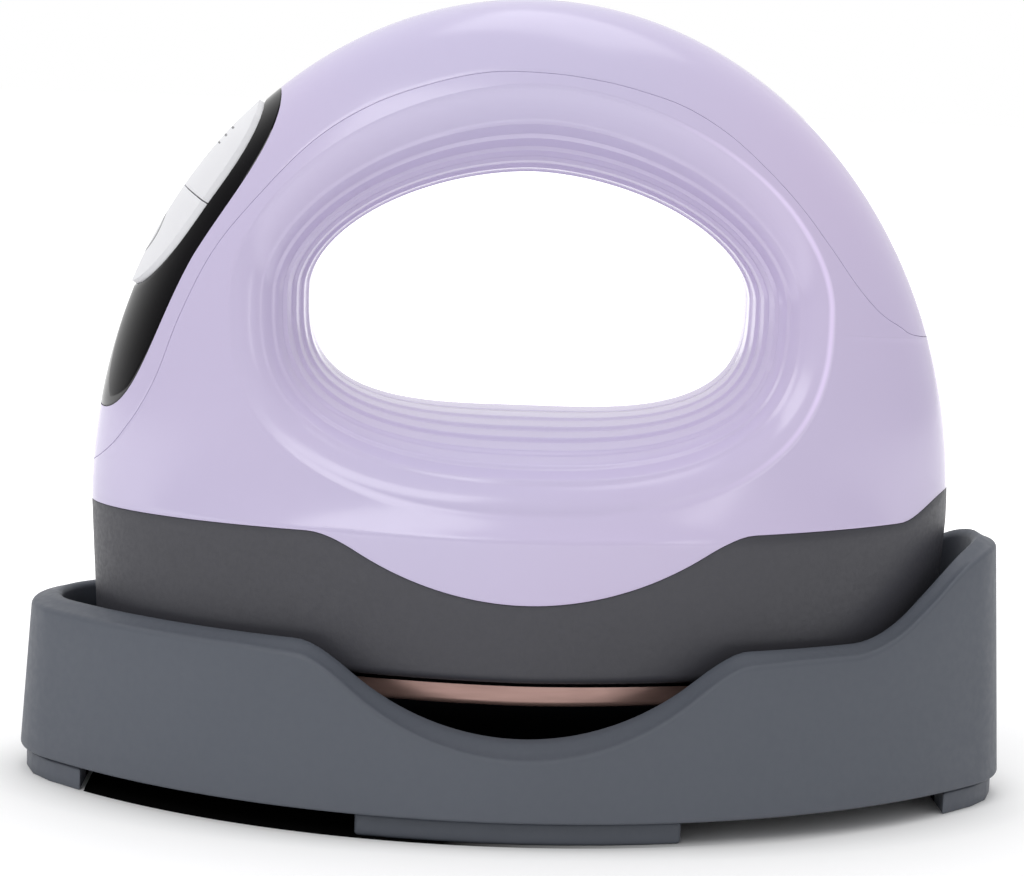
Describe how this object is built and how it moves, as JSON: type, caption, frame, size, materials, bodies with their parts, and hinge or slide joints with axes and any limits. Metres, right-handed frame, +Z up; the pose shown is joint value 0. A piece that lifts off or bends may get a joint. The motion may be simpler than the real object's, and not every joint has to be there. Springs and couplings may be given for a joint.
{
  "type": "mini handheld heat press",
  "caption": "Small handheld heat press with a domed lilac body, a finger opening, a panel with two sprung keys and a lens-shaped heated plate, resting in an insulated stand.",
  "frame": {"origin": "on the table under the middle of the stand", "axes": "+Z up, +X towards the stand's tall end, -Y towards the front; the control panel looks towards -X and +Z"},
  "size_m": [0.1416, 0.0744, 0.1116],
  "materials": {
    "lilac": "satin-gloss lilac moulding",
    "charcoal": "satin charcoal moulding",
    "stand": "matt blue-grey heat-resistant moulding",
    "panel_black": "gloss black",
    "key_white": "satin white",
    "plate": "rose-gold ceramic coat",
    "steel": "plain steel",
    "silicone": "matt silicone",
    "board": "solder-masked laminate",
    "black": "matt black",
    "insulation": "woven white insulation",
    "wire_red": "silicone wire sleeve",
    "led": "translucent green",
    "blue": "moulded blue case"
  },
  "bodies": {
    "stand": {"stand_tray": "stand", "stand_foot_front": "stand", "stand_foot_back": "stand", "stand_foot_left": "stand", "stand_foot_right": "stand", "rest_pad_1": "silicone", "rest_pad_2": "silicone", "rest_pad_3": "silicone", "rest_pad_4": "silicone"},
    "press": {"skirt": "charcoal", "front_shell": "lilac", "back_shell": "lilac", "top_cover": "lilac", "control_panel": "panel_black", "heat_plate": "plate", "heating_element": "steel", "heat_shield": "steel", "insulation_pad": "insulation", "thermistor": "black", "thermal_fuse": "steel", "element_lead_front": "wire_red", "element_lead_back": "wire_red", "control_board": "board", "power_switch": "black", "heat_switch": "black", "ribbon_cable": "insulation", "power_board": "board", "transformer": "black", "relay": "blue", "capacitor": "black", "terminal_block": "board", "cord_gland": "black", "cord_clamp": "black", "indicator_led_1": "led", "indicator_led_2": "led", "indicator_led_3": "led", "plate_screw_1": "steel", "plate_screw_2": "steel", "plate_screw_3": "steel", "plate_screw_4": "steel", "skirt_screw_1": "steel", "skirt_screw_2": "steel", "skirt_screw_3": "steel", "skirt_screw_4": "steel", "shell_screw_1": "steel", "shell_screw_2": "steel", "shell_screw_3": "steel", "board_screw_1": "steel", "board_screw_2": "steel", "board_screw_3": "steel", "board_screw_4": "steel", "control_screw_1": "steel", "control_screw_2": "steel", "clamp_screw_1": "steel", "clamp_screw_2": "steel"},
    "power_key": {"power_key": "key_white"},
    "heat_key": {"heat_key": "key_white"}
  },
  "joints": [
    {"name": "press_lift", "type": "slide", "parent": "stand", "child": "press", "axis": [0, 0, 1], "range_m": [0, 0.05]},
    {"name": "power_key_press", "type": "slide", "parent": "press", "child": "power_key", "axis": [0.866, 0, -0.5], "range_m": [0, 0.0008], "stiffness_N_per_m": 600, "springref_m": -0.0012},
    {"name": "heat_key_press", "type": "slide", "parent": "press", "child": "heat_key", "axis": [0.866, 0, -0.5], "range_m": [0, 0.0008], "stiffness_N_per_m": 600, "springref_m": -0.0012}
  ]
}
